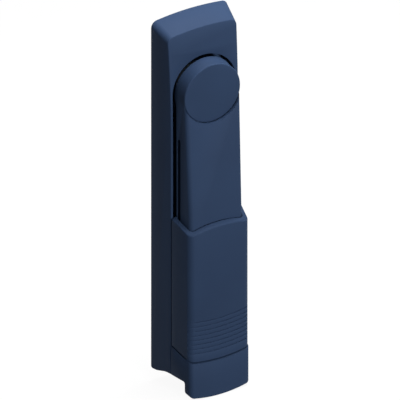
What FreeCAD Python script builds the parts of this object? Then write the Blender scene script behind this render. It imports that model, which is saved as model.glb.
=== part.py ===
# Swing handle lock for a cabinet door.
# Millimetres. X runs across the handle, -Y points out of the door towards the user, +Z is up.
# The origin is the swing axis where it meets the door face. In the functions below "forward" is
# the distance in front of the door face, so forward = -Y.
import FreeCAD, Part
import math
import os

Vector = FreeCAD.Vector

# Housing
base_width = 41.2            # across the back face
base_depth = 14.0            # door face to the housing's front plane
side_draft = 9.7             # degrees that every long side leans in
top_height = 35.75           # swing axis to the middle of the top edge, at the back
top_radius = 132.0           # arch of the top edge
top_lean = 20.1              # degrees that the top end face leans
top_corner = 3.6             # rounding of the two top corners
face_curve_start = -20.0     # height where the front face starts to curve back
face_curve_radius = 520.0
foot_height = -150.1         # underside at the door face
edge_round = 0.6             # rounding of the housing's long front edges
foot_round = 1.0             # rounding of the foot's back edge
recess_wall = 1.0            # wall beside the round recess and the tray, at the front plane
recess_floor = 4.5           # forward of the recess floor
tray_floor = 6.0             # forward of the tray floor
tray_bottom = -131.0
core_depth = 3.0             # hollows in the back
core_wall = 5.5              # from the outer edge to a hollow
core_rib = 3.0
core_count = 3
boss_radius = 12.0           # round boss that passes through the door
boss_length = 10.0

# Block and front lip, in one piece with the housing
front_depth = 27.9           # forward of the side edges of the front face
front_crown = 0.6            # how much the middle of the front face stands out
front_round = 2.4            # rounding of the long front edges
slit_height = -136.9         # lower edge of the cover, in the middle of the front face
slit_radius = 105.0          # arch of the slit
slit_lean = 14.0             # degrees that the cut faces lean down to the front
slit_gap = 0.9
underside_height = -147.7
seam_width = 0.4             # fine groove that carries the front edge's line down beside the block
seam_depth = 0.3
scoop_start = 3.4            # forward of the foot's front edge
scoop_end = 10.5
lip_back = 23.6              # forward of the lip's back face
lip_bottom = -156.4          # lowest point of the lip
lip_radius = 75.0            # arch of the lip's lower edge
lip_round = 3.0
scoop_round = 1.5
scoop_blend = 14.0           # soft bends of the scoop's slope

# Lever
lever_lift_gap = 0.5         # between the housing's front plane and the lever's back
face_at_axis = 21.74         # forward of the lever's face on the swing axis
face_rise = 0.0472           # how fast the face comes forward towards the cover
face_flat = 25.2             # forward of the lever's face under the cover
lever_round = 2.2
head_back = 12.0             # forward of the head's back
head_chamfer = 1.5
hub_space_width = 14.0
hub_space_top = 12.5         # radius of the hub space's round top
hub_space_bottom = -6.0
seat_floor = 20.2            # forward of the cap's seat
end_inset = 1.0              # lever's end behind the cover's lower edge
slot_back = 15.2             # guide slot, forward of its back wall
slot_width = 2.2
slot_depth = 2.9
slot_top = -22.0
lever_core_top = -30.0
lever_core_bottom = -78.0
lever_core_half = 9.0
lever_skin = 2.8

# Cap
cap_overhang = 0.6           # cap beyond half the lever's width on the swing axis
cap_height = 0.75            # cap's centre above the swing axis
cap_gap = 0.3
cap_face = 21.0
cap_round = 0.6
peg_radius = 1.5
peg_length = 4.0
peg_spacing = 20.0
peg_height = -5.0            # below the hinge pin

# Spindle and its bearing
spindle_radius = 6.0
running_gap = 0.05
fit_gap = 0.1                # between pieces that are pushed together
blind_gap = 0.3              # left free at the bottom of a blind hole
bush_wall = 2.0
bush_flange = 1.0
bush_flange_radius = 10.0
collar_radius = 7.5
collar_thickness = 1.9
thrust_gap = 0.1
hinge_forward = 16.0         # forward of the cross pin
pin_radius = 2.0
hub_radius = 4.0
hub_width = 13.0
pin_end_gap = 0.6
washer_radius = 10.0
washer_thickness = 1.0
ring_thickness = 1.2
ring_radius = 8.6
ring_opening = 5.0
groove_land = 1.5            # shaft behind the ring's groove
groove_depth = 0.6
seal_section = 1.3
drive_square = 8.0
drive_length = 10.0
tap_radius = 2.1
tap_depth = 9.0

# Sliding cover
cover_side_wall = 2.1        # wall of the cover beside the lever
cover_gap = 0.3              # cover to lever and to the housing's front plane
cover_top = -66.4            # upper edge in the middle of the front face
cover_top_radius = 50.0
cover_step = 0.5             # cover's face behind the block's face
cover_round = 3.4            # rounding of the cover's long front edges
shoulder_lean = 21.0         # degrees that the cover's upper end face leans
cover_travel = 44.0
shoulder_round = 0.7
rib_gap = 0.25
rib_top_gap = 1.4
rib_length = 58.0
rib_tip_gap = 0.45           # rib to the bottom of the slot
rib_root = 0.8               # rib's root inside the cover's outer face
groove_count = 8
groove_pitch = 2.37
groove_first = -115.5
groove_width = 0.9
groove_sink = 0.35
groove_wrap = 2.0            # how far the grooves run back round the front edges
dimple_depth = 0.35

# Lock
lock_height = -112.0         # key plug's axis
barrel_radius = 8.5
barrel_back = 18.9
barrel_flange_radius = 10.0
barrel_flange = 1.3
barrel_floor = 1.0           # lever wall behind the barrel's bore
plug_radius = 5.5
plug_flange_radius = 6.6
plug_flange = 1.0
plug_front = 25.1
clip_radius = 7.2
clip_thickness = 0.5
clip_groove = 0.6
clip_inset = 0.2             # clip in front of the barrel's back
clip_play = 0.03
clip_opening = 4.0
key_width = 1.8
key_height = 6.4
key_stop = 0.4               # end of the keyway in front of the clip
wafer_count = 3
wafer_thickness = 0.8
wafer_pitch = 1.4
wafer_first = 1.0            # first wafer in front of the clip
wafer_width = 3.8
wafer_height = 9.6
eccentric = 3.0
drive_pin_radius = 1.3
drive_pin_inset = 0.2        # pin's end in front of the bolt's back
bolt_width = 11.0
bolt_back = 16.1
bolt_thickness = 2.5
bolt_top = -104.5
bolt_gap = 0.25
bolt_slot_play = 0.8
bolt_end_inset = 0.4
pocket_gap = 0.6
keeper_thickness = 0.9
keeper_width = 20.0
keeper_top = -100.0
keeper_length = 24.0
keeper_screw_radius = 1.1
keeper_screw_head = 1.9
keeper_screw_length = 3.4
keeper_screw_slot = (0.5, 0.4)  # width and depth
keeper_screw_edge = 2.1      # from the plate's sides
keeper_screw_inset = 2.4     # from the plate's ends
set_screw_radius = 1.5
set_screw_length = 7.0
set_screw_tip = 1.2          # radius of the screw's seat in the barrel
set_screw_socket = (0.7, 1.5)  # radius and depth
set_screw_forward = 21.4

# Detent
ball_radius = 1.8
detent_height = -84.0
detent_play = 0.05
spring_wire = 0.4
spring_radius = 1.2
spring_turns = 4
spring_pitch = 0.9
wire_flats = 8

# Fixing
insert_radius = 3.5
insert_length = 8.0
insert_thread = 2.1
insert_end = 1.0             # closed end of an insert
fixing_top = 24.0
fixing_bottom = -126.0
fixing_boss_radius = 5.5
fixing_boss_wall = 2.0       # in front of an insert
gasket_inset = 1.6
gasket_width = 2.2
gasket_depth = 1.0

tan_side = math.tan(math.radians(side_draft))
tan_slit = math.tan(math.radians(slit_lean))
tan_top = math.tan(math.radians(top_lean))
tan_shoulder = math.tan(math.radians(shoulder_lean))
lever_back = base_depth + lever_lift_gap
cover_back = base_depth + lever_lift_gap
cover_depth = front_depth - cover_step
top_centre = top_height - top_radius
slit_centre = slit_height + slit_radius
cover_top_centre = cover_top - cover_top_radius
lip_centre = lip_bottom + lip_radius
recess_radius = base_width / 2 - base_depth * tan_side - recess_wall
keeper_screw_across = keeper_width / 2 - keeper_screw_edge
overcut = base_width / 8     # how far a cutting tool runs past the face that it cuts
margin = overcut / 5         # the same, where there is little room


def at(across, forward, up):
    """A point given by its distance across, in front of the door face and above the axis."""
    return Vector(across, -forward, up)


def block(across, forward, up):
    """A straight-sided block between two values in each direction."""
    size = (across[1] - across[0], forward[1] - forward[0], up[1] - up[0])
    return Part.makeBox(*size, Vector(across[0], -forward[1], up[0]))


def rod(radius, back, front, across=0.0, up=0.0):
    """A cylinder that points out of the door."""
    return Part.makeCylinder(radius, front - back, at(across, back, up), Vector(0, -1, 0))


def cross_rod(radius, half_length, forward, up):
    """A cylinder that lies across the handle."""
    return Part.makeCylinder(radius, 2 * half_length, at(-half_length, forward, up), Vector(1, 0, 0))


def upright_rod(radius, low, high, across, forward):
    """A cylinder that stands along the handle."""
    return Part.makeCylinder(radius, high - low, at(across, forward, low), Vector(0, 0, 1))


def cone(radius_back, radius_front, back, front, up):
    """A cone about an axis that points out of the door."""
    return Part.makeCone(radius_back, radius_front, front - back, at(0, back, up), Vector(0, -1, 0))


def prism_across(points, half_length):
    """A side profile of (forward, up) points, drawn out across the handle."""
    corners = [at(-half_length, forward, up) for forward, up in points]
    face = Part.Face(Part.makePolygon(corners + corners[:1]))
    return face.extrude(Vector(2 * half_length, 0, 0))


def edges_where(shape, test):
    """The edges whose middle point passes a test of (across, forward, up)."""
    found = []
    for edge in shape.Edges:
        middle = edge.valueAt((edge.FirstParameter + edge.LastParameter) / 2)
        if test(middle.x, -middle.y, middle.z):
            found.append(edge)
    return found


def base_half(forward):
    """Half the handle's outer width at a distance in front of the door."""
    return base_width / 2 - forward * tan_side


def lever_half(forward):
    """Half the lever's width at a distance in front of the door."""
    return base_half(forward) - cover_side_wall - cover_gap


def drafted_bar(half_width, back, front, low, high, crown=0.0):
    """A bar whose sides lean in, with a front face that may be crowned."""
    corners = [at(-half_width(back), back, low), at(half_width(back), back, low),
               at(half_width(front), front, low), at(-half_width(front), front, low)]
    sides = [Part.LineSegment(corners[i], corners[i + 1]).toShape() for i in (0, 1)]
    if crown > 0:
        middle = at(0, front + crown, low)
        sides.append(Part.Arc(corners[2], middle, corners[3]).toShape())
    else:
        sides.append(Part.LineSegment(corners[2], corners[3]).toShape())
    sides.append(Part.LineSegment(corners[3], corners[0]).toShape())
    return Part.Face(Part.Wire(sides)).extrude(Vector(0, 0, high - low))


def inside_slit(gap=0.0):
    """The space above the slit's cut face, moved down by a gap."""
    deep = front_depth + 5 * front_crown
    radius_front = slit_radius + gap + (deep - front_depth) * tan_slit
    radius_back = slit_radius + gap - front_depth * tan_slit
    return cone(radius_back, radius_front, 0, deep, slit_centre)


def below_slit(gap=0.0):
    """The space below the slit's cut face, moved down by a gap."""
    space = block((-base_width, base_width), (0, front_depth), (lip_bottom - overcut, slit_centre))
    return space.cut(inside_slit(gap))


def round_outer_front(bar, radius):
    """Rounds the two long front edges of a bar."""
    near_front = -bar.BoundBox.YMin - front_crown - margin
    outer = edges_where(bar, lambda x, f, z: f > near_front and abs(x) > base_width / 8)
    long_edges = [edge for edge in outer
                  if abs(edge.Vertexes[0].Point.z - edge.Vertexes[-1].Point.z) > base_width / 2]
    return bar.makeFillet(radius, long_edges)


def outline_plate(inset, back, front):
    """A flat plate with the outline of the housing's back, moved in by an inset."""
    half = base_width / 2 - inset
    plate = block((-half, half), (back, front), (foot_height + inset, top_height))
    return plate.common(rod(top_radius - inset, back, front, up=top_centre))


def make_base_body():
    """The housing's outer form: a long bar with an arched, leaning top end."""
    bar = drafted_bar(base_half, 0, base_depth, foot_height, top_height + overcut)
    lean = cone(top_radius, top_radius - base_depth * tan_top, 0, base_depth, top_centre)
    body = bar.common(lean)
    curve = Part.makeCylinder(face_curve_radius, base_width * 2,
                              at(-base_width, base_depth - face_curve_radius, face_curve_start),
                              Vector(1, 0, 0))
    upper = body.common(block((-base_width, base_width), (-margin, base_depth + margin),
                              (face_curve_start, top_height + overcut))).common(curve)
    lower = body.common(block((-base_width, base_width), (-margin, base_depth + margin),
                              (foot_height, face_curve_start)))
    body = upper.fuse(lower).removeSplitter()
    foot = edges_where(body, lambda x, f, z: f < margin / 10 and z < foot_height + margin / 10)
    body = body.makeFillet(foot_round, foot)
    corners = edges_where(body, lambda x, f, z: abs(x) > base_half(f) - margin
                          and z > top_height - 2 * overcut and margin < f < 0.75 * base_depth)
    body = body.makeFillet(top_corner, corners)
    rims = edges_where(body, lambda x, f, z: f > 0.75 * base_depth and z > tray_bottom)
    return body.makeFillet(edge_round, rims)


def make_block():
    """The block below the slit, with its scooped underside and front lip."""
    bar = drafted_bar(base_half, base_depth - margin, front_depth, lip_bottom - overcut,
                      slit_height + base_width / 2, front_crown)
    bar = round_outer_front(bar, front_round)
    bar = bar.cut(inside_slit(slit_gap))
    scoop = make_scoop()
    return bar.common(lip_space()).cut(scoop), scoop


def lip_space():
    """The space inside the lip's arched lower edge, with its two round corners."""
    half = base_half(lip_back)
    front = front_depth + overcut
    space = rod(lip_radius, 0, front, up=lip_centre)
    space = space.common(block((-half, half), (0, front), (lip_bottom - overcut, lip_centre)))
    corners = edges_where(space, lambda x, f, z: abs(x) > half - margin / 10
                          and z < lip_bottom + base_width / 4 and margin < f < front - margin)
    space = space.makeFillet(lip_round, corners)
    return space.fuse(block((-base_width, base_width), (0, front), (underside_height, lip_centre)))


def make_scoop():
    """The space under the block, behind the front lip."""
    low = lip_bottom - overcut
    scoop = prism_across([(-overcut, low), (-overcut, foot_height), (scoop_start, foot_height),
                          (scoop_end, underside_height), (lip_back, underside_height),
                          (lip_back, low)], base_width)
    corners = [(scoop_start, foot_height, scoop_blend), (scoop_end, underside_height, scoop_blend),
               (lip_back, underside_height, scoop_round)]
    for forward, up, radius in corners:
        corner = edges_where(scoop, lambda x, f, z: abs(f - forward) < margin / 10 and
                             abs(z - up) < margin / 10)
        scoop = scoop.makeFillet(radius, corner)
    return scoop


def make_base_housing():
    """The moulded housing with its recess, tray, boss, bores and block."""
    body = make_base_body()
    lower_block, scoop = make_block()
    body = body.fuse(lower_block).cut(scoop)
    body = body.cut(rod(recess_radius, recess_floor, base_depth + overcut))
    tray = block((-recess_radius, recess_radius), (tray_floor, base_depth + overcut),
                 (tray_bottom, 0))
    side_space = block((-recess_radius, recess_radius), (recess_floor, base_depth + overcut),
                       (-recess_radius, 0))
    fixing_boss = rod(fixing_boss_radius, tray_floor - margin, insert_length + fixing_boss_wall,
                      up=fixing_bottom)
    body = body.cut(tray).cut(side_space).fuse(fixing_boss)
    body = body.fuse(rod(boss_radius, -boss_length, recess_floor - margin))
    core_low = fixing_bottom + insert_radius + core_rib
    core_high = -boss_radius - core_rib
    core_step = (core_high - core_low) / core_count
    core_half = base_width / 2 - core_wall
    for index in range(core_count):
        low = core_low + index * core_step
        high = low + core_step - core_rib
        body = body.cut(block((-core_half, core_half), (-margin, core_depth), (low, high)))
    body = body.cut(rod(spindle_radius + bush_wall, -boss_length - margin, recess_floor + margin))
    for height in (fixing_top, fixing_bottom):
        body = body.cut(rod(insert_radius, -margin, insert_length, up=height))
    body = body.cut(outline_plate(gasket_inset, -margin, gasket_depth).cut(
        outline_plate(gasket_inset + gasket_width, -2 * margin, gasket_depth + margin)))
    half = bolt_width / 2 + pocket_gap
    pocket_back = bolt_back - pocket_gap
    pocket_front = bolt_back + bolt_thickness + pocket_gap
    pocket_low = bolt_end() - 2 * eccentric - pocket_gap
    body = body.cut(block((-half, half), (pocket_back, pocket_front), (pocket_low, tray_bottom)))
    body = body.cut(make_side_seams())
    return body.removeSplitter()


def make_side_seams():
    """The fine grooves beside the block, one on each side."""
    seams = []
    for side in (-1, 1):
        across = sorted((side * (base_half(base_depth) - seam_depth), side * base_width / 2))
        seams.append(block(across, (base_depth - seam_width, base_depth),
                           (foot_height - overcut, tray_bottom)))
    return Part.makeCompound(seams)


def make_base_gasket():
    """Flat rubber ring in the back of the housing."""
    return outline_plate(gasket_inset + fit_gap, 0, gasket_depth).cut(
        outline_plate(gasket_inset + gasket_width - fit_gap, -margin, gasket_depth + margin))


def make_threaded_inserts():
    """Two metal inserts, pressed in from the back."""
    inserts = []
    for height in (fixing_top, fixing_bottom):
        body = rod(insert_radius, 0, insert_length, up=height)
        inserts.append(body.cut(rod(insert_thread, -margin, insert_length - insert_end, up=height)))
    return Part.makeCompound(inserts)


def bush_front():
    return recess_floor + bush_flange


def make_bearing_bush():
    """Flanged plain bush for the spindle."""
    body = rod(spindle_radius + bush_wall, -boss_length, bush_front())
    body = body.fuse(rod(bush_flange_radius, recess_floor, bush_front()))
    return body.cut(rod(spindle_radius + running_gap, -boss_length - margin, bush_front() + margin))


def ring_back():
    """Forward of the retaining ring's back face, behind the boss and the washer."""
    return -boss_length - washer_thickness - ring_thickness - thrust_gap


def make_spindle():
    """Shaft with a collar and a hub in front and a tapped square drive behind."""
    collar_back = bush_front() + thrust_gap
    drive_front = ring_back() - groove_land
    drive_back = drive_front - drive_length
    body = rod(spindle_radius, drive_front, collar_back + margin)
    body = body.fuse(rod(collar_radius, collar_back, collar_back + collar_thickness))
    neck = block((-hub_width / 2, hub_width / 2), (collar_back + margin, hinge_forward),
                 (-hub_radius, hub_radius))
    neck = neck.common(rod(collar_radius, 0, hinge_forward))
    body = body.fuse(neck).fuse(cross_rod(hub_radius, hub_width / 2, hinge_forward, 0))
    half = drive_square / 2
    body = body.fuse(block((-half, half), (drive_back, drive_front + margin), (-half, half)))
    groove = ring_groove_space(spindle_radius + margin, 0)
    seal_middle = seal_forward()
    seal_groove = rod(spindle_radius + margin, seal_middle - seal_section / 2,
                      seal_middle + seal_section / 2)
    seal_groove = seal_groove.cut(rod(seal_root(), seal_middle - overcut, seal_middle + overcut))
    body = body.cut(groove).cut(seal_groove)
    body = body.cut(cross_rod(pin_radius + running_gap, hub_width, hinge_forward, 0))
    body = body.cut(rod(tap_radius, drive_back - margin, drive_back + tap_depth))
    return body.removeSplitter()


def ring_groove_space(radius, play):
    """A flat ring in the groove behind the boss, from the groove's root to a radius."""
    ring = rod(radius, ring_back() + play, ring_back() + ring_thickness - play)
    return ring.cut(rod(spindle_radius - groove_depth, ring_back() - margin,
                        ring_back() + ring_thickness + margin))


def seal_forward():
    return -boss_length / 2


def seal_root():
    """Radius of the bottom of the seal's groove."""
    return spindle_radius - seal_section + fit_gap


def make_spindle_seal():
    """O-ring between the spindle and its bush."""
    wire = seal_section / 2 - running_gap
    return Part.makeTorus(seal_root() + wire, wire, at(0, seal_forward(), 0), Vector(0, -1, 0))


def make_spindle_washer():
    """Flat washer behind the boss."""
    back = ring_back() + ring_thickness
    body = rod(washer_radius, back, back + washer_thickness)
    return body.cut(rod(spindle_radius + running_gap, back - margin, back + washer_thickness + margin))


def make_retaining_ring():
    """Open ring in the spindle's groove."""
    opening = block((-ring_opening / 2, ring_opening / 2),
                    (ring_back() - margin, ring_back() + ring_thickness + margin),
                    (-ring_radius - margin, 0))
    return ring_groove_space(ring_radius, running_gap).cut(opening)


def make_hinge_pin():
    """Cross pin through the lever's cheeks and the spindle's hub."""
    half = lever_half(hinge_forward) - pin_end_gap
    return cross_rod(pin_radius, half, hinge_forward, 0)


def lever_face_profile():
    """Side profile of the space behind the lever's face."""
    high = base_width / 2
    kink = (face_at_axis - face_flat) / face_rise
    low = slit_height - base_width / 2
    return [(0, high), (face_at_axis - high * face_rise, high), (face_flat, kink),
            (face_flat, low), (0, low)]


def bolt_end():
    """Height of the bolt's lower end at rest."""
    return lever_end(bolt_back) + bolt_end_inset


def lever_end(forward):
    """Height of the lever's end face in its middle."""
    return slit_height + end_inset + (front_depth - forward) * tan_slit


def make_lever():
    """The moulded lever: head, arm, guide slots, lock bore, bolt channel and detent bore."""
    front = face_flat + 2 * margin
    low = slit_height - overcut
    arm = drafted_bar(lever_half, lever_back, front, low, 0)
    head = cone(lever_half(head_back), lever_half(front), head_back, front, 0)
    body = arm.fuse(head)
    body = body.common(prism_across(lever_face_profile(), base_width)).removeSplitter()
    rim = edges_where(body, lambda x, f, z: f > face_at_axis - 1.5 * margin and z > slit_height
                      and (abs(x) > margin or z > recess_radius / 2))
    body = body.makeFillet(lever_round, rim)
    chamfer_back = rod(recess_radius, head_back - margin, head_back + head_chamfer).cut(
        cone(lever_half(head_back) - head_chamfer - margin, lever_half(head_back) + margin,
             head_back - margin, head_back + head_chamfer + margin, 0))
    body = body.cut(chamfer_back)
    body = body.cut(below_slit(-end_inset))
    hub_half = hub_space_width / 2
    hub_space = block((-hub_half, hub_half), (head_back - margin, seat_floor + margin),
                      (hub_space_bottom, hub_space_top))
    body = body.cut(hub_space.common(rod(hub_space_top, head_back - margin, seat_floor + margin)))
    body = body.cut(cross_rod(pin_radius, lever_half(hinge_forward) - pin_end_gap, hinge_forward, 0))
    body = body.cut(rod(cap_radius() + cap_gap, seat_floor, front + margin, up=cap_height))
    for side in (-1, 1):
        body = body.cut(rod(peg_radius, seat_floor - peg_length - blind_gap, seat_floor + margin,
                            side * peg_spacing / 2, peg_height))
        body = body.cut(guide_slot(side))
    body = body.cut(block((-lever_core_half, lever_core_half), (lever_back - margin, lever_core_front()),
                          (lever_core_bottom, lever_core_top)))
    body = body.cut(rod(barrel_radius, lever_back + barrel_floor, front, up=lock_height))
    body = body.cut(rod(barrel_flange_radius, plug_front - barrel_flange - blind_gap, front,
                        up=lock_height))
    half = bolt_width / 2 + bolt_gap
    body = body.cut(block((-half, half), (lever_back - margin, bolt_back + bolt_thickness + bolt_gap),
                          (low, bolt_top + bolt_gap)))
    body = body.cut(keeper_space())
    for across, height in keeper_screw_places():
        body = body.cut(rod(keeper_screw_radius, lever_back, lever_back + keeper_screw_length + blind_gap,
                            across=across, up=height))
    body = body.cut(upright_rod(set_screw_radius, low, lock_height - barrel_radius + margin, 0,
                                set_screw_forward))
    bore_floor = detent_centre() - ball_radius - spring_turns * spring_pitch - spring_wire
    body = body.cut(rod(ball_radius + running_gap, bore_floor, front, up=detent_height))
    return body.removeSplitter()


def cap_radius():
    return lever_half(face_at_axis) + cap_overhang


def detent_centre():
    """Forward of the ball's centre, just behind the cover's inner face."""
    return cover_inner_front() - detent_play - ball_radius


def cover_inner_front():
    return face_flat + cover_gap


def lever_core_front():
    """Forward of the bottom of the hollow in the lever's back."""
    return face_at_axis - lever_core_top * face_rise - lever_skin


def guide_slot(side):
    """One guide slot with a round top end, open at the lever's end."""
    middle = slot_back + slot_width / 2
    inner = lever_half(middle) - slot_depth
    outer = base_width / 2
    edges = sorted((side * inner, side * outer))
    low = slit_height - overcut
    straight = block(edges, (slot_back, slot_back + slot_width), (low, slot_top - slot_width / 2))
    end = Part.makeCylinder(slot_width / 2, outer - inner,
                            at(edges[0], middle, slot_top - slot_width / 2), Vector(1, 0, 0))
    return straight.fuse(end)


def keeper_space(gap=fit_gap):
    """Pocket in the lever's back for the bolt's keeper plate."""
    half = keeper_width / 2 + gap
    return block((-half, half), (lever_back - margin, lever_back + keeper_thickness),
                 (keeper_top - keeper_length - gap, keeper_top + gap))


def keeper_screw_places():
    heights = (keeper_top - keeper_screw_inset, keeper_top - keeper_length + keeper_screw_inset)
    return [(side * keeper_screw_across, height) for side in (-1, 1) for height in heights]


def make_bolt_keeper():
    """Thin plate that holds the bolt in its channel."""
    half = keeper_width / 2
    plate = block((-half, half), (lever_back, lever_back + keeper_thickness),
                  (keeper_top - keeper_length, keeper_top))
    for across, height in keeper_screw_places():
        plate = plate.cut(cone_hole(across, height))
    return plate


def cone_hole(across, height):
    """Countersunk hole of a keeper screw."""
    sink = Part.makeCone(keeper_screw_head, keeper_screw_radius,
                         keeper_screw_head - keeper_screw_radius, at(across, lever_back, height),
                         Vector(0, -1, 0))
    return sink.fuse(rod(keeper_screw_radius, lever_back - margin, lever_back + overcut, across, height))


def make_keeper_screws():
    """Four countersunk screws of the keeper plate."""
    screws = []
    slot_half = keeper_screw_slot[0] / 2
    slot_depth_in_head = keeper_screw_slot[1]
    for across, height in keeper_screw_places():
        head = Part.makeCone(keeper_screw_head, keeper_screw_radius,
                             keeper_screw_head - keeper_screw_radius,
                             at(across, lever_back, height), Vector(0, -1, 0))
        shank = rod(keeper_screw_radius, lever_back, lever_back + keeper_screw_length, across, height)
        slot = block((across - keeper_screw_head, across + keeper_screw_head),
                     (lever_back - margin, lever_back + slot_depth_in_head),
                     (height - slot_half, height + slot_half))
        screws.append(head.fuse(shank).cut(slot).removeSplitter())
    return Part.makeCompound(screws)


def make_disc_cap():
    """Bare round cap with two pegs, pressed on the lever's head."""
    back = seat_floor
    body = rod(cap_radius(), back, cap_face, up=cap_height)
    rim = edges_where(body, lambda x, f, z: abs(f - cap_face) < margin / 10)
    body = body.makeFillet(cap_round, rim)
    for side in (-1, 1):
        body = body.fuse(rod(peg_radius, back - peg_length, back + margin / 2,
                             side * peg_spacing / 2, peg_height))
    return body.removeSplitter()


def make_lock_barrel():
    """Barrel of the key lock."""
    front = plug_front
    body = rod(barrel_radius, barrel_back, front, up=lock_height)
    body = body.fuse(rod(barrel_flange_radius, front - barrel_flange, front, up=lock_height))
    body = body.cut(rod(plug_radius + running_gap, barrel_back - margin, front + margin, up=lock_height))
    body = body.cut(rod(plug_flange_radius + fit_gap, front - plug_flange - fit_gap, front + margin,
                        up=lock_height))
    body = body.cut(rod(clip_radius + fit_gap, barrel_back - margin, clip_front() + running_gap,
                        up=lock_height))
    body = body.cut(upright_rod(set_screw_tip, lock_height - barrel_radius - margin,
                                lock_height - barrel_radius + margin, 0, set_screw_forward))
    return body


def clip_front():
    return barrel_back + clip_inset + clip_thickness


def make_barrel_screw():
    """Set screw that pins the barrel."""
    tip = lock_height - barrel_radius
    body = upright_rod(set_screw_radius, tip - set_screw_length, tip - fit_gap, 0, set_screw_forward)
    socket_radius, socket_depth = set_screw_socket
    socket = upright_rod(socket_radius, tip - set_screw_length - margin,
                         tip - set_screw_length + socket_depth, 0, set_screw_forward)
    return body.cut(socket)


def make_key_plug():
    """Turning plug with keyway, wafer slots, clip groove and eccentric drive pin."""
    back = barrel_back + fit_gap
    body = rod(plug_radius, back, plug_front, up=lock_height)
    body = body.fuse(rod(plug_flange_radius, plug_front - plug_flange, plug_front, up=lock_height))
    groove_back = clip_front() - clip_thickness
    groove = rod(plug_radius + margin, groove_back, clip_front(), up=lock_height).cut(
        rod(plug_radius - clip_groove, groove_back - margin, clip_front() + margin, up=lock_height))
    body = body.cut(groove)
    body = body.cut(block((-key_width / 2, key_width / 2), (clip_front() + key_stop, plug_front + margin),
                          (lock_height - key_height / 2, lock_height + key_height / 2)))
    for middle in wafer_places():
        half_width = wafer_width / 2 + running_gap
        half_thickness = wafer_thickness / 2 + running_gap
        body = body.cut(block((-half_width, half_width), (middle - half_thickness, middle + half_thickness),
                              (lock_height - plug_radius - margin, lock_height + plug_radius + margin)))
    pin = rod(drive_pin_radius, bolt_back + drive_pin_inset, back + margin / 2,
              up=lock_height + eccentric)
    return body.fuse(pin)


def wafer_places():
    first = clip_front() + wafer_first
    return [first + index * wafer_pitch for index in range(wafer_count)]


def make_wafers():
    """Thin brass wafers in the plug, each with a window for the key."""
    wafers = []
    for middle in wafer_places():
        span = (middle - wafer_thickness / 2, middle + wafer_thickness / 2)
        body = block((-wafer_width / 2, wafer_width / 2), span,
                     (lock_height - wafer_height / 2, lock_height + wafer_height / 2))
        window = block((-key_width / 2, key_width / 2), (span[0] - margin, span[1] + margin),
                       (lock_height - key_height / 2, lock_height + key_height / 2))
        wafers.append(body.cut(window))
    return Part.makeCompound(wafers)


def make_plug_clip():
    """Open clip in the plug's groove."""
    back = clip_front() - clip_thickness + clip_play
    front = clip_front() - clip_play
    body = rod(clip_radius, back, front, up=lock_height)
    body = body.cut(rod(plug_radius - clip_groove, back - margin, front + margin, up=lock_height))
    return body.cut(block((-clip_opening / 2, clip_opening / 2), (back - margin, front + margin),
                          (lock_height, lock_height + clip_radius + margin)))


def make_lock_bolt():
    """Flat bolt with a cross slot for the plug's drive pin."""
    front = bolt_back + bolt_thickness
    half = bolt_width / 2
    body = block((-half, half), (bolt_back, front), (bolt_end(), bolt_top))
    slot_half = drive_pin_radius + bolt_slot_play
    pin_height = lock_height + eccentric
    across = eccentric + drive_pin_radius + fit_gap
    return body.cut(block((-across, across), (bolt_back - margin, front + margin),
                          (pin_height - slot_half, pin_height + slot_half)))


def make_sliding_cover():
    """Moulded cover with guide ribs, shoulder and grip grooves."""
    low = slit_height - overcut
    high = cover_top + base_width / 2
    bar = drafted_bar(base_half, cover_back, cover_depth, low, high, front_crown)
    bar = round_outer_front(bar, cover_round)
    top_space = cone(cover_top_radius + cover_depth * tan_shoulder,
                     cover_top_radius - overcut * tan_shoulder, 0, cover_depth + overcut, cover_top_centre)
    outer = bar.common(inside_slit()).common(top_space)
    shoulder = edges_where(outer, lambda x, f, z: z > cover_top - 3 * margin and f > cover_back + margin)
    outer = outer.makeFillet(shoulder_round, shoulder)
    inner = drafted_bar(lambda forward: lever_half(forward) + cover_gap, cover_back - margin,
                        cover_inner_front(), low - margin, high + margin)
    body = outer.cut(round_outer_front(inner, lever_round + cover_gap))
    for side in (-1, 1):
        body = body.fuse(guide_rib(side))
    for dimple in make_dimples():
        body = body.cut(dimple)
    return body.cut(make_grip_grooves()).removeSplitter()


def guide_rib(side):
    """Rib on the cover's inner side that runs in the lever's slot."""
    back = slot_back + rib_gap
    front = slot_back + slot_width - rib_gap
    middle = slot_back + slot_width / 2
    inner = lever_half(middle) - slot_depth + rib_tip_gap
    outer = base_half(front) - rib_root
    high = slot_top - cover_travel - rib_top_gap
    edges = sorted((side * inner, side * outer))
    return block(edges, (back, front), (high - rib_length, high))


def make_grip_grooves():
    """Curved grooves across the cover's front, in step with the slit."""
    front = cover_depth + front_crown + margin
    inner = drafted_bar(base_half, 0, cover_depth - groove_sink, slit_height - overcut, cover_top,
                        front_crown)
    inner = round_outer_front(inner, cover_round)
    grooves = []
    for index in range(groove_count):
        arc_centre = groove_first - index * groove_pitch + slit_radius
        band = rod(slit_radius + groove_width / 2, cover_depth - groove_wrap, front, up=arc_centre)
        band = band.cut(rod(slit_radius - groove_width / 2, 0, front + margin, up=arc_centre))
        band = band.common(block((-base_width, base_width), (0, front), (slit_height, cover_top)))
        grooves.append(band.cut(inner))
    return Part.makeCompound(grooves)


def make_dimples():
    """Two dimples in the cover's inner face, where the detent ball clicks in."""
    centre = cover_inner_front() - ball_radius + dimple_depth
    return [Part.makeSphere(ball_radius, at(0, centre, detent_height - lift))
            for lift in (0, cover_travel)]


def make_detent_ball():
    """Steel ball that holds the cover."""
    return Part.makeSphere(ball_radius, at(0, detent_centre(), detent_height))


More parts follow.
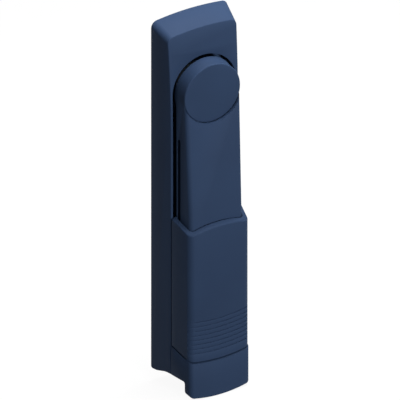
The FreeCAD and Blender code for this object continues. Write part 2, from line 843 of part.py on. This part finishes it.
def make_detent_spring():
    """Coil spring behind the ball, of wire with many flats."""
    length = spring_pitch * spring_turns
    start = detent_centre() - ball_radius - length + spring_wire / 2
    helix = Part.makeHelix(spring_pitch, length - spring_pitch / 2, spring_radius)
    corners = []
    for index in range(wire_flats):
        turn = 2 * math.pi * index / wire_flats
        corners.append(Vector(spring_radius + spring_wire / 2 * math.cos(turn), 0,
                              spring_wire / 2 * math.sin(turn)))
    section = Part.makePolygon(corners + corners[:1])
    coil = Part.Wire(helix).makePipeShell([section], True, True)
    coil.rotate(Vector(0, 0, 0), Vector(1, 0, 0), 90)
    coil.translate(at(0, start, detent_height))
    return coil


parts = {
    "base_housing": make_base_housing,
    "base_gasket": make_base_gasket,
    "threaded_inserts": make_threaded_inserts,
    "bearing_bush": make_bearing_bush,
    "spindle": make_spindle,
    "spindle_seal": make_spindle_seal,
    "spindle_washer": make_spindle_washer,
    "retaining_ring": make_retaining_ring,
    "hinge_pin": make_hinge_pin,
    "lever": make_lever,
    "disc_cap": make_disc_cap,
    "lock_barrel": make_lock_barrel,
    "barrel_screw": make_barrel_screw,
    "key_plug": make_key_plug,
    "plug_clip": make_plug_clip,
    "wafers": make_wafers,
    "lock_bolt": make_lock_bolt,
    "bolt_keeper": make_bolt_keeper,
    "keeper_screws": make_keeper_screws,
    "sliding_cover": make_sliding_cover,
    "detent_ball": make_detent_ball,
    "detent_spring": make_detent_spring,
}

os.makedirs("parts", exist_ok=True)
for name, make in parts.items():
    shape = make()
    shape.exportStep("parts/" + name + ".step")
    print(name, len(shape.Solids), shape.isValid(), round(shape.Volume, 1))
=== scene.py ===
import math

import bmesh
import bpy
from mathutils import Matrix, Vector


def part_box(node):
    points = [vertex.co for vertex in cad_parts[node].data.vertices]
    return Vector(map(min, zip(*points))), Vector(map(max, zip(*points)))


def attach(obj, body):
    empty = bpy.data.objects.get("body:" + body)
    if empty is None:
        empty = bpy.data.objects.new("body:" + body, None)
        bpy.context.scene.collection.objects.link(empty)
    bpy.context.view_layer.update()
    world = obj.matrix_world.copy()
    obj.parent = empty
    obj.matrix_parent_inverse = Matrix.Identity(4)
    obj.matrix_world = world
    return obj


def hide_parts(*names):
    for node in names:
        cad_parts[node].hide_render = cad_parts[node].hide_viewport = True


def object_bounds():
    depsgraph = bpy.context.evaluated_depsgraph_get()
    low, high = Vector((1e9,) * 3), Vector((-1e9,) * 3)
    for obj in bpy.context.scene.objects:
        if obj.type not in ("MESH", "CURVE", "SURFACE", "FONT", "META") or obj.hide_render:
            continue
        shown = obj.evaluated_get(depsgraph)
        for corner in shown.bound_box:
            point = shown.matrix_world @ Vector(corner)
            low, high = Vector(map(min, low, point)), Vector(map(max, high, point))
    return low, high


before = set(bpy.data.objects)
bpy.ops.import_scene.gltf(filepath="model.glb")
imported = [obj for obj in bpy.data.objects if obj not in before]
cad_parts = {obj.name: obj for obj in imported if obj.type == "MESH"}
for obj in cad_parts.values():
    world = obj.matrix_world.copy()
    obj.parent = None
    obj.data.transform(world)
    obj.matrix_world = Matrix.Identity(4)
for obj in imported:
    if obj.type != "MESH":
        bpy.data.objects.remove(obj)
cad_low, cad_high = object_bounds()


# The housing is one moulding of dark navy polyamide: a long drafted dish with a leaning top end,
# a round recess for the lever's head, a tray below it, and the solid block with the front lip.
# The mould leaves every outer corner slightly broken and a fine spark-eroded grain on the faces.
def linear(hex_colour):
    """An sRGB hex colour as linear RGBA."""
    channels = [int(hex_colour[i:i + 2], 16) / 255 for i in (1, 3, 5)]
    return [c / 12.92 if c <= 0.04045 else ((c + 0.055) / 1.055) ** 2.4 for c in channels] + [1.0]


def empty_material(name):
    """A material of shader nodes that holds none yet."""
    material = bpy.data.materials.new(name)
    material.use_nodes = True
    material.node_tree.nodes.clear()
    return material


def add_node(material, kind, settings=None, links=None):
    """Adds a shader node. A setting that names no socket goes to the node's own property."""
    node = material.node_tree.nodes.new(kind)
    for name, value in (settings or {}).items():
        if name in node.inputs:
            node.inputs[name].default_value = value
        else:
            setattr(node, name, value)
    for name, socket in (links or {}).items():
        material.node_tree.links.new(socket, node.inputs[name])
    return node


# Polyamide, injection moulded against a spark-eroded steel mould: an even satin with no clear
# reflections, a faint cloudiness from the flow of the melt, and a grain that only breaks up the
# highlights. The real grain is about 0.05 mm, drawn at 0.35 mm so that it shows at all.
flow_size = 0.030
grain_size = 0.00035
grain_depth = 0.00003

navy_polyamide = empty_material("navy_polyamide_spark_eroded")
place = add_node(navy_polyamide, "ShaderNodeTexCoord").outputs["Object"]
flow = add_node(navy_polyamide, "ShaderNodeTexNoise", {"Scale": 1 / flow_size, "Detail": 2.0},
                {"Vector": place})
flow_colour = add_node(navy_polyamide, "ShaderNodeValToRGB", {}, {"Fac": flow.outputs["Fac"]})
flow_colour.color_ramp.elements[0].position = 0.3
flow_colour.color_ramp.elements[0].color = linear("#2A3952")
flow_colour.color_ramp.elements[1].position = 0.7
flow_colour.color_ramp.elements[1].color = linear("#2C3C56")
grain = add_node(navy_polyamide, "ShaderNodeTexNoise", {"Scale": 1 / grain_size, "Detail": 1.0},
                 {"Vector": place})
grain_gloss = add_node(navy_polyamide, "ShaderNodeMapRange",
                       {"From Min": 0.3, "From Max": 0.7, "To Min": 0.50, "To Max": 0.58},
                       {"Value": grain.outputs["Fac"]})
grain_bump = add_node(navy_polyamide, "ShaderNodeBump", {"Strength": 0.12, "Distance": grain_depth},
                      {"Height": grain.outputs["Fac"]})
plastic = add_node(navy_polyamide, "ShaderNodeBsdfPrincipled",
                   {"IOR": 1.5, "Specular IOR Level": 0.04},
                   {"Base Color": flow_colour.outputs["Color"],
                    "Roughness": grain_gloss.outputs["Result"],
                    "Normal": grain_bump.outputs["Normal"]})
add_node(navy_polyamide, "ShaderNodeOutputMaterial", {}, {"Surface": plastic.outputs["BSDF"]})

weld_distance = 0.000002
flat_angle = math.radians(0.3)
smooth_angle = math.radians(28)
corner_angle = math.radians(32)


def finished_piece(node, body, corner, material):
    """A finished copy of a node: facets merged and outer corners broken by a small radius."""
    bpy.ops.object.select_all(action="DESELECT")
    piece = bpy.data.objects.new(node + "_finished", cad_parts[node].data.copy())
    bpy.context.scene.collection.objects.link(piece)
    bpy.context.view_layer.objects.active = piece
    piece.select_set(True)
    bpy.ops.mesh.customdata_custom_splitnormals_clear()
    bpy.ops.object.mode_set(mode="EDIT")
    bpy.ops.mesh.select_all(action="SELECT")
    bpy.ops.mesh.remove_doubles(threshold=weld_distance)
    bpy.ops.mesh.dissolve_limited(angle_limit=flat_angle)
    mesh = bmesh.from_edit_mesh(piece.data)
    weight = mesh.edges.layers.float.new("bevel_weight_edge")
    for edge in mesh.edges:
        sharp = edge.is_manifold and edge.is_convex and edge.calc_face_angle() > corner_angle
        edge[weight] = 1.0 if sharp else 0.0
    bmesh.update_edit_mesh(piece.data)
    bpy.ops.object.mode_set(mode="OBJECT")
    bevel = piece.modifiers.new("broken corners", "BEVEL")
    bevel.width = corner
    bevel.segments = 2
    bevel.limit_method = "WEIGHT"
    bevel.use_clamp_overlap = True
    bpy.ops.object.modifier_apply(modifier=bevel.name)
    bpy.ops.object.shade_smooth_by_angle(angle=smooth_angle)
    piece.data.materials.clear()
    piece.data.materials.append(material)
    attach(piece, body)
    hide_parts(node)
    return piece


finished_piece("base_housing", "housing", corner=0.00025, material=navy_polyamide)


# The base gasket is a closed frame of black nitrile rubber that lies in a groove round the housing's
# back and seals it to the door. It is moulded, so it is dull all over, with a faint bloom. The skin
# of the rubber is finer than the 0.2 mm that it is drawn at.
bloom_size = 0.004
skin_size = 0.0002
skin_depth = 0.00002

black_rubber = empty_material("black_moulded_nitrile_rubber")
place = add_node(black_rubber, "ShaderNodeTexCoord").outputs["Object"]
bloom = add_node(black_rubber, "ShaderNodeTexNoise", {"Scale": 1 / bloom_size, "Detail": 3.0},
                 {"Vector": place})
bloom_colour = add_node(black_rubber, "ShaderNodeValToRGB", {}, {"Fac": bloom.outputs["Fac"]})
bloom_colour.color_ramp.elements[0].position = 0.35
bloom_colour.color_ramp.elements[0].color = linear("#18181A")
bloom_colour.color_ramp.elements[1].position = 0.75
bloom_colour.color_ramp.elements[1].color = linear("#262628")
skin = add_node(black_rubber, "ShaderNodeTexNoise", {"Scale": 1 / skin_size, "Detail": 2.0},
                {"Vector": place})
skin_bump = add_node(black_rubber, "ShaderNodeBump", {"Strength": 0.25, "Distance": skin_depth},
                     {"Height": skin.outputs["Fac"]})
rubber = add_node(black_rubber, "ShaderNodeBsdfPrincipled",
                  {"IOR": 1.52, "Specular IOR Level": 0.3, "Roughness": 0.72},
                  {"Base Color": bloom_colour.outputs["Color"],
                   "Normal": skin_bump.outputs["Normal"]})
add_node(black_rubber, "ShaderNodeOutputMaterial", {}, {"Surface": rubber.outputs["BSDF"]})


def finish_node(node, material):
    """Gives its finish to a node that is shown as it was built."""
    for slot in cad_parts[node].material_slots:
        slot.material = material


finish_node("base_gasket", black_rubber)


# Two closed threaded inserts are pressed into the housing's back for the fixing screws. They are
# turned from brass bar, which leaves fine rings round their axis, about four to a millimetre, and
# a warm, fairly clear shine that is slightly uneven where the brass has begun to tarnish.
tarnish_size = 0.003
tool_mark_scale = 1 / 0.0008
tool_mark_depth = 0.00002

turned_brass = empty_material("turned_brass")
place = add_node(turned_brass, "ShaderNodeTexCoord").outputs["Object"]
tarnish = add_node(turned_brass, "ShaderNodeTexNoise", {"Scale": 1 / tarnish_size, "Detail": 3.0},
                   {"Vector": place})
tarnish_colour = add_node(turned_brass, "ShaderNodeValToRGB", {}, {"Fac": tarnish.outputs["Fac"]})
tarnish_colour.color_ramp.elements[0].position = 0.3
tarnish_colour.color_ramp.elements[0].color = linear("#B8904A")
tarnish_colour.color_ramp.elements[1].position = 0.7
tarnish_colour.color_ramp.elements[1].color = linear("#CFAA62")
tool_marks = add_node(turned_brass, "ShaderNodeTexWave",
                      {"bands_direction": "Y", "Scale": tool_mark_scale, "Distortion": 0.3},
                      {"Vector": place})
tool_bump = add_node(turned_brass, "ShaderNodeBump", {"Strength": 0.2, "Distance": tool_mark_depth},
                     {"Height": tool_marks.outputs["Fac"]})
brass = add_node(turned_brass, "ShaderNodeBsdfPrincipled", {"Metallic": 1.0, "Roughness": 0.26},
                 {"Base Color": tarnish_colour.outputs["Color"],
                  "Normal": tool_bump.outputs["Normal"]})
add_node(turned_brass, "ShaderNodeOutputMaterial", {}, {"Surface": brass.outputs["BSDF"]})

finished_piece("threaded_inserts", "housing", corner=0.00015, material=turned_brass)


# The bearing bush is a flanged sleeve of natural acetal, pressed into the housing's round boss. The
# resin is milky and slightly waxy, lets a little light in, and takes a low even shine from a
# polished mould.
milk_size = 0.006
light_depth = 0.0008

natural_acetal = empty_material("natural_acetal")
place = add_node(natural_acetal, "ShaderNodeTexCoord").outputs["Object"]
milk = add_node(natural_acetal, "ShaderNodeTexNoise", {"Scale": 1 / milk_size, "Detail": 2.0},
                {"Vector": place})
milk_colour = add_node(natural_acetal, "ShaderNodeValToRGB", {}, {"Fac": milk.outputs["Fac"]})
milk_colour.color_ramp.elements[0].color = linear("#D3D1C6")
milk_colour.color_ramp.elements[1].color = linear("#E0DFD6")
wax = add_node(natural_acetal, "ShaderNodeMapRange",
               {"From Min": 0.3, "From Max": 0.7, "To Min": 0.36, "To Max": 0.44},
               {"Value": milk.outputs["Fac"]})
acetal = add_node(natural_acetal, "ShaderNodeBsdfPrincipled",
                  {"IOR": 1.48, "Subsurface Weight": 0.15, "Subsurface Scale": light_depth},
                  {"Base Color": milk_colour.outputs["Color"], "Roughness": wax.outputs["Result"]})
add_node(natural_acetal, "ShaderNodeOutputMaterial", {}, {"Surface": acetal.outputs["BSDF"]})

finished_piece("bearing_bush", "housing", corner=0.0002, material=natural_acetal)


# The spindle is cast in zinc alloy with its hub, and plated. Its round shaft turns in the bush and
# its square end drives the cam behind the door. Plating over a casting is bright but a little wavy,
# with waves of about 2.5 mm.
wave_size = 0.0025
wave_depth = 0.00003

plated_zinc = empty_material("plated_die_cast_zinc")
place = add_node(plated_zinc, "ShaderNodeTexCoord").outputs["Object"]
cast = add_node(plated_zinc, "ShaderNodeTexNoise", {"Scale": 1 / wave_size, "Detail": 4.0},
                {"Vector": place})
cast_colour = add_node(plated_zinc, "ShaderNodeValToRGB", {}, {"Fac": cast.outputs["Fac"]})
cast_colour.color_ramp.elements[0].position = 0.3
cast_colour.color_ramp.elements[0].color = linear("#A3A6AA")
cast_colour.color_ramp.elements[1].position = 0.7
cast_colour.color_ramp.elements[1].color = linear("#B9BCC0")
cast_gloss = add_node(plated_zinc, "ShaderNodeMapRange",
                      {"From Min": 0.3, "From Max": 0.7, "To Min": 0.28, "To Max": 0.38},
                      {"Value": cast.outputs["Fac"]})
cast_bump = add_node(plated_zinc, "ShaderNodeBump", {"Strength": 0.25, "Distance": wave_depth},
                     {"Height": cast.outputs["Fac"]})
zinc = add_node(plated_zinc, "ShaderNodeBsdfPrincipled", {"Metallic": 1.0},
                {"Base Color": cast_colour.outputs["Color"],
                 "Roughness": cast_gloss.outputs["Result"],
                 "Normal": cast_bump.outputs["Normal"]})
add_node(plated_zinc, "ShaderNodeOutputMaterial", {}, {"Surface": zinc.outputs["BSDF"]})

finished_piece("spindle", "spindle", corner=0.00025, material=plated_zinc)


# The spindle seal is an O-ring, moulded from the same black rubber as the gasket. It lies in a
# groove of the spindle and keeps water out of the bush.
finish_node("spindle_seal", black_rubber)


# The spindle washer is punched from steel sheet and zinc plated, a cool grey with faint cloudy
# patches where the passivation is thicker. The rolled sheet's texture is drawn at 0.3 mm.
cloud_size = 0.005
roll_size = 0.0003

plated_steel = empty_material("zinc_plated_steel")
place = add_node(plated_steel, "ShaderNodeTexCoord").outputs["Object"]
cloud = add_node(plated_steel, "ShaderNodeTexNoise", {"Scale": 1 / cloud_size, "Detail": 3.0},
                 {"Vector": place})
cloud_colour = add_node(plated_steel, "ShaderNodeValToRGB", {}, {"Fac": cloud.outputs["Fac"]})
cloud_colour.color_ramp.elements[0].position = 0.3
cloud_colour.color_ramp.elements[0].color = linear("#A9B0BA")
cloud_colour.color_ramp.elements[1].position = 0.7
cloud_colour.color_ramp.elements[1].color = linear("#C0C4C8")
roll = add_node(plated_steel, "ShaderNodeTexNoise", {"Scale": 1 / roll_size, "Detail": 2.0},
                {"Vector": place})
roll_gloss = add_node(plated_steel, "ShaderNodeMapRange",
                      {"From Min": 0.3, "From Max": 0.7, "To Min": 0.30, "To Max": 0.42},
                      {"Value": roll.outputs["Fac"]})
steel = add_node(plated_steel, "ShaderNodeBsdfPrincipled", {"Metallic": 1.0},
                 {"Base Color": cloud_colour.outputs["Color"],
                  "Roughness": roll_gloss.outputs["Result"]})
add_node(plated_steel, "ShaderNodeOutputMaterial", {}, {"Surface": steel.outputs["BSDF"]})

finished_piece("spindle_washer", "spindle", corner=0.00015, material=plated_steel)


# The retaining ring is punched from spring steel, hardened and oiled, so it is nearly black with a
# dark oily shine that changes every few millimetres. It snaps into the spindle's groove behind the
# washer.
oil_size = 0.002

oiled_spring_steel = empty_material("oiled_spring_steel")
place = add_node(oiled_spring_steel, "ShaderNodeTexCoord").outputs["Object"]
oil = add_node(oiled_spring_steel, "ShaderNodeTexNoise", {"Scale": 1 / oil_size, "Detail": 3.0},
               {"Vector": place})
oil_gloss = add_node(oiled_spring_steel, "ShaderNodeMapRange",
                     {"From Min": 0.3, "From Max": 0.7, "To Min": 0.25, "To Max": 0.42},
                     {"Value": oil.outputs["Fac"]})
oil_colour = add_node(oiled_spring_steel, "ShaderNodeValToRGB", {}, {"Fac": oil.outputs["Fac"]})
oil_colour.color_ramp.elements[0].color = linear("#37383B")
oil_colour.color_ramp.elements[1].color = linear("#4A4A4C")
spring = add_node(oiled_spring_steel, "ShaderNodeBsdfPrincipled", {"Metallic": 1.0},
                  {"Base Color": oil_colour.outputs["Color"],
                   "Roughness": oil_gloss.outputs["Result"]})
add_node(oiled_spring_steel, "ShaderNodeOutputMaterial", {}, {"Surface": spring.outputs["BSDF"]})

finish_node("retaining_ring", oiled_spring_steel)


# The hinge pin is cut from steel wire and zinc plated. It is pressed across the lever's head and
# runs through the spindle's hub, so that the lever can lift out of the housing.
finished_piece("hinge_pin", "lever", corner=0.0002, material=plated_steel)


# The lever is a second moulding of the same polyamide. Its round head sits in the housing's recess,
# and a guide slot runs along each side for the dust cover.
finished_piece("lever", "lever", corner=0.0002, material=navy_polyamide)


# The round cap is moulded bare and flat from the same polyamide. Two pegs at its back are pressed
# into the lever's head.
finished_piece("disc_cap", "lever", corner=0.0002, material=navy_polyamide)


# The lock barrel is a flanged sleeve of plated zinc in the lever's lower end. A set screw of plated
# steel, driven in from the lever's end, holds it.
finished_piece("lock_barrel", "lever", corner=0.00015, material=plated_zinc)
finish_node("barrel_screw", plated_steel)


# The key plug turns in the barrel and carries an eccentric pin at its back. It is turned from brass
# and nickel plated, a warm pale silver with fine rings from the lathe round its own middle, about
# three to a millimetre, and a shine that handling has made a little uneven.
ring_scale = 1 / 0.0010
ring_depth = 0.00002
handling_size = 0.0015

nickel_plate = empty_material("nickel_plated_brass")
place = add_node(nickel_plate, "ShaderNodeTexCoord").outputs["Object"]
centred = add_node(nickel_plate, "ShaderNodeMapping", {}, {"Vector": place})
lock_low, lock_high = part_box("key_plug")
centred.inputs["Location"].default_value = -(Vector(lock_low) + Vector(lock_high)) / 2
rings = add_node(nickel_plate, "ShaderNodeTexWave",
                 {"wave_type": "RINGS", "rings_direction": "Y", "Scale": ring_scale,
                  "Distortion": 0.2},
                 {"Vector": centred.outputs["Vector"]})
ring_bump = add_node(nickel_plate, "ShaderNodeBump", {"Strength": 0.15, "Distance": ring_depth},
                     {"Height": rings.outputs["Fac"]})
handling = add_node(nickel_plate, "ShaderNodeTexNoise", {"Scale": 1 / handling_size, "Detail": 3.0},
                    {"Vector": place})
handling_gloss = add_node(nickel_plate, "ShaderNodeMapRange",
                          {"From Min": 0.3, "From Max": 0.7, "To Min": 0.20, "To Max": 0.30},
                          {"Value": handling.outputs["Fac"]})
nickel = add_node(nickel_plate, "ShaderNodeBsdfPrincipled",
                  {"Base Color": linear("#C3BEB0"), "Metallic": 1.0},
                  {"Roughness": handling_gloss.outputs["Result"],
                   "Normal": ring_bump.outputs["Normal"]})
add_node(nickel_plate, "ShaderNodeOutputMaterial", {}, {"Surface": nickel.outputs["BSDF"]})

finished_piece("key_plug", "plug", corner=0.0001, material=nickel_plate)


# The plug clip is a ring of spring steel that holds the plug in the barrel. The three wafers are
# stamped from brass sheet and slide in the plug's slots.
finish_node("plug_clip", oiled_spring_steel)
finish_node("wafers", turned_brass)


# The lock bolt is a plated steel tongue that the plug's pin drives down into the housing's block. A
# plate with four small screws keeps it in the lever's back.
finished_piece("lock_bolt", "bolt", corner=0.00015, material=plated_steel)
finished_piece("bolt_keeper", "lever", corner=0.0001, material=plated_steel)
finish_node("keeper_screws", plated_steel)


# The detent is a steel ball on a small wire spring, in a blind hole of the lever's face. The ball
# presses on the inside of the dust cover and holds it where it is put.
finish_node("detent_spring", oiled_spring_steel)
finish_node("detent_ball", plated_steel)


# The dust cover is a thin moulding of the same polyamide that slides up the lever. Its front carries
# eight grip grooves, and a small shoulder stands out where it meets the lever's face.
finished_piece("sliding_cover", "cover", corner=0.0002, material=navy_polyamide)


# The floor is a plain pale sheet, just below the housing. It stays white to the camera and in
# mirrored views, and still takes the handle's soft shadow.
floor_size = 6.0
floor_gap = 0.0002
floor_white = 0.925

bpy.ops.object.select_all(action="DESELECT")
bpy.ops.mesh.primitive_plane_add(size=floor_size, location=(0, 0, cad_low.z - floor_gap))
floor = bpy.context.object
floor.name = "floor"
bpy.ops.object.transform_apply(location=True, rotation=True, scale=True)


def seen_directly(material):
    """A value of 1 for what the camera sees straight, mirrored or through glass, and 0 for lighting."""
    path = add_node(material, "ShaderNodeLightPath")
    straight = add_node(material, "ShaderNodeMath", {"operation": "MAXIMUM"},
                        {0: path.outputs["Is Camera Ray"], 1: path.outputs["Is Transmission Ray"]})
    seen = add_node(material, "ShaderNodeMath", {"operation": "MAXIMUM"},
                    {0: straight.outputs["Value"], 1: path.outputs["Is Glossy Ray"]})
    return seen.outputs["Value"]


pale_floor = empty_material("pale_matt_floor")
sheet = add_node(pale_floor, "ShaderNodeBsdfDiffuse", {"Color": linear("#5E5E5E")})
share = add_node(pale_floor, "ShaderNodeMath", {"operation": "MULTIPLY"}, {0: seen_directly(pale_floor)})
share.inputs[1].default_value = floor_white
white = add_node(pale_floor, "ShaderNodeEmission", {"Color": linear("#FFFFFF")},
                 {"Strength": share.outputs["Value"]})
mixed = add_node(pale_floor, "ShaderNodeAddShader", {},
                 {0: sheet.outputs["BSDF"], 1: white.outputs["Emission"]})
add_node(pale_floor, "ShaderNodeOutputMaterial", {}, {"Surface": mixed.outputs["Shader"]})
floor.data.materials.append(pale_floor)


# Soft studio light: a level lamp in front of the handle, a weak one behind it on its left, a square
# lamp above it and a little to its right, and an even pale surround that lights it only weakly.
def hang(light, towards, at=(0, 0, 0)):
    """Hangs a lamp so that it shines from the direction towards."""
    holder = bpy.data.objects.new(light.name, light)
    holder.location = at
    holder.rotation_mode = "QUATERNION"
    holder.rotation_quaternion = Vector(towards).to_track_quat("Z", "Y")
    bpy.context.scene.collection.objects.link(holder)


front_lamp = bpy.data.lights.new("front_lamp", "SUN")
front_lamp.energy = 2.6
front_lamp.angle = math.radians(8)
hang(front_lamp, (0.10, -0.99, 0.09))

back_lamp = bpy.data.lights.new("back_lamp", "SUN")
back_lamp.energy = 0.5
back_lamp.angle = math.radians(40)
hang(back_lamp, (-0.55, 0.65, 0.35))

overhead_height = 0.29
overhead_lamp = bpy.data.lights.new("overhead_lamp", "AREA")
overhead_lamp.shape = "SQUARE"
overhead_lamp.size = 0.22
overhead_lamp.energy = 2.3
hang(overhead_lamp, (0.07, -0.02, overhead_height), at=(0.07, -0.02, cad_high.z + overhead_height))

surround = bpy.data.worlds.new("pale_surround")
bpy.context.scene.world = surround
surround.use_nodes = True
surround.node_tree.nodes.clear()
dim = add_node(surround, "ShaderNodeBackground", {"Color": linear("#FFFFFF"), "Strength": 0.11})
bright = add_node(surround, "ShaderNodeBackground", {"Color": linear("#FFFFFF"), "Strength": 1.0})
world_mix = add_node(surround, "ShaderNodeMixShader", {},
                     {0: seen_directly(surround), 1: dim.outputs["Background"],
                      2: bright.outputs["Background"]})
add_node(surround, "ShaderNodeOutputWorld", {}, {"Surface": world_mix.outputs["Shader"]})


# The camera stands 31 degrees to the handle's left and 30 degrees up, with parallel lines of sight.
# Its picture is 400 pixels wide at 0.463 mm to a pixel, and centred on the handle.
turn = math.radians(-31)
rise = math.radians(30)
pixel = 0.000463
picture_width = 400 * pixel
aim_right = 10.8 * pixel
aim_down = 125.0 * pixel
camera_distance = 0.8

across = Vector((math.cos(turn), math.sin(turn), 0))
back = Vector((math.sin(turn) * math.cos(rise), -math.cos(turn) * math.cos(rise), math.sin(rise)))
up = back.cross(across)
camera_data = bpy.data.cameras.new("camera")
camera_data.type = "ORTHO"
camera_data.ortho_scale = picture_width
camera_data.clip_start = 0.01
camera_data.clip_end = 10.0
camera = bpy.data.objects.new("camera", camera_data)
camera.location = across * aim_right - up * aim_down + back * camera_distance
camera.rotation_mode = "QUATERNION"
camera.rotation_quaternion = back.to_track_quat("Z", "Y")
bpy.context.scene.collection.objects.link(camera)
bpy.context.scene.camera = camera
bpy.context.scene.view_settings.view_transform = "Standard"
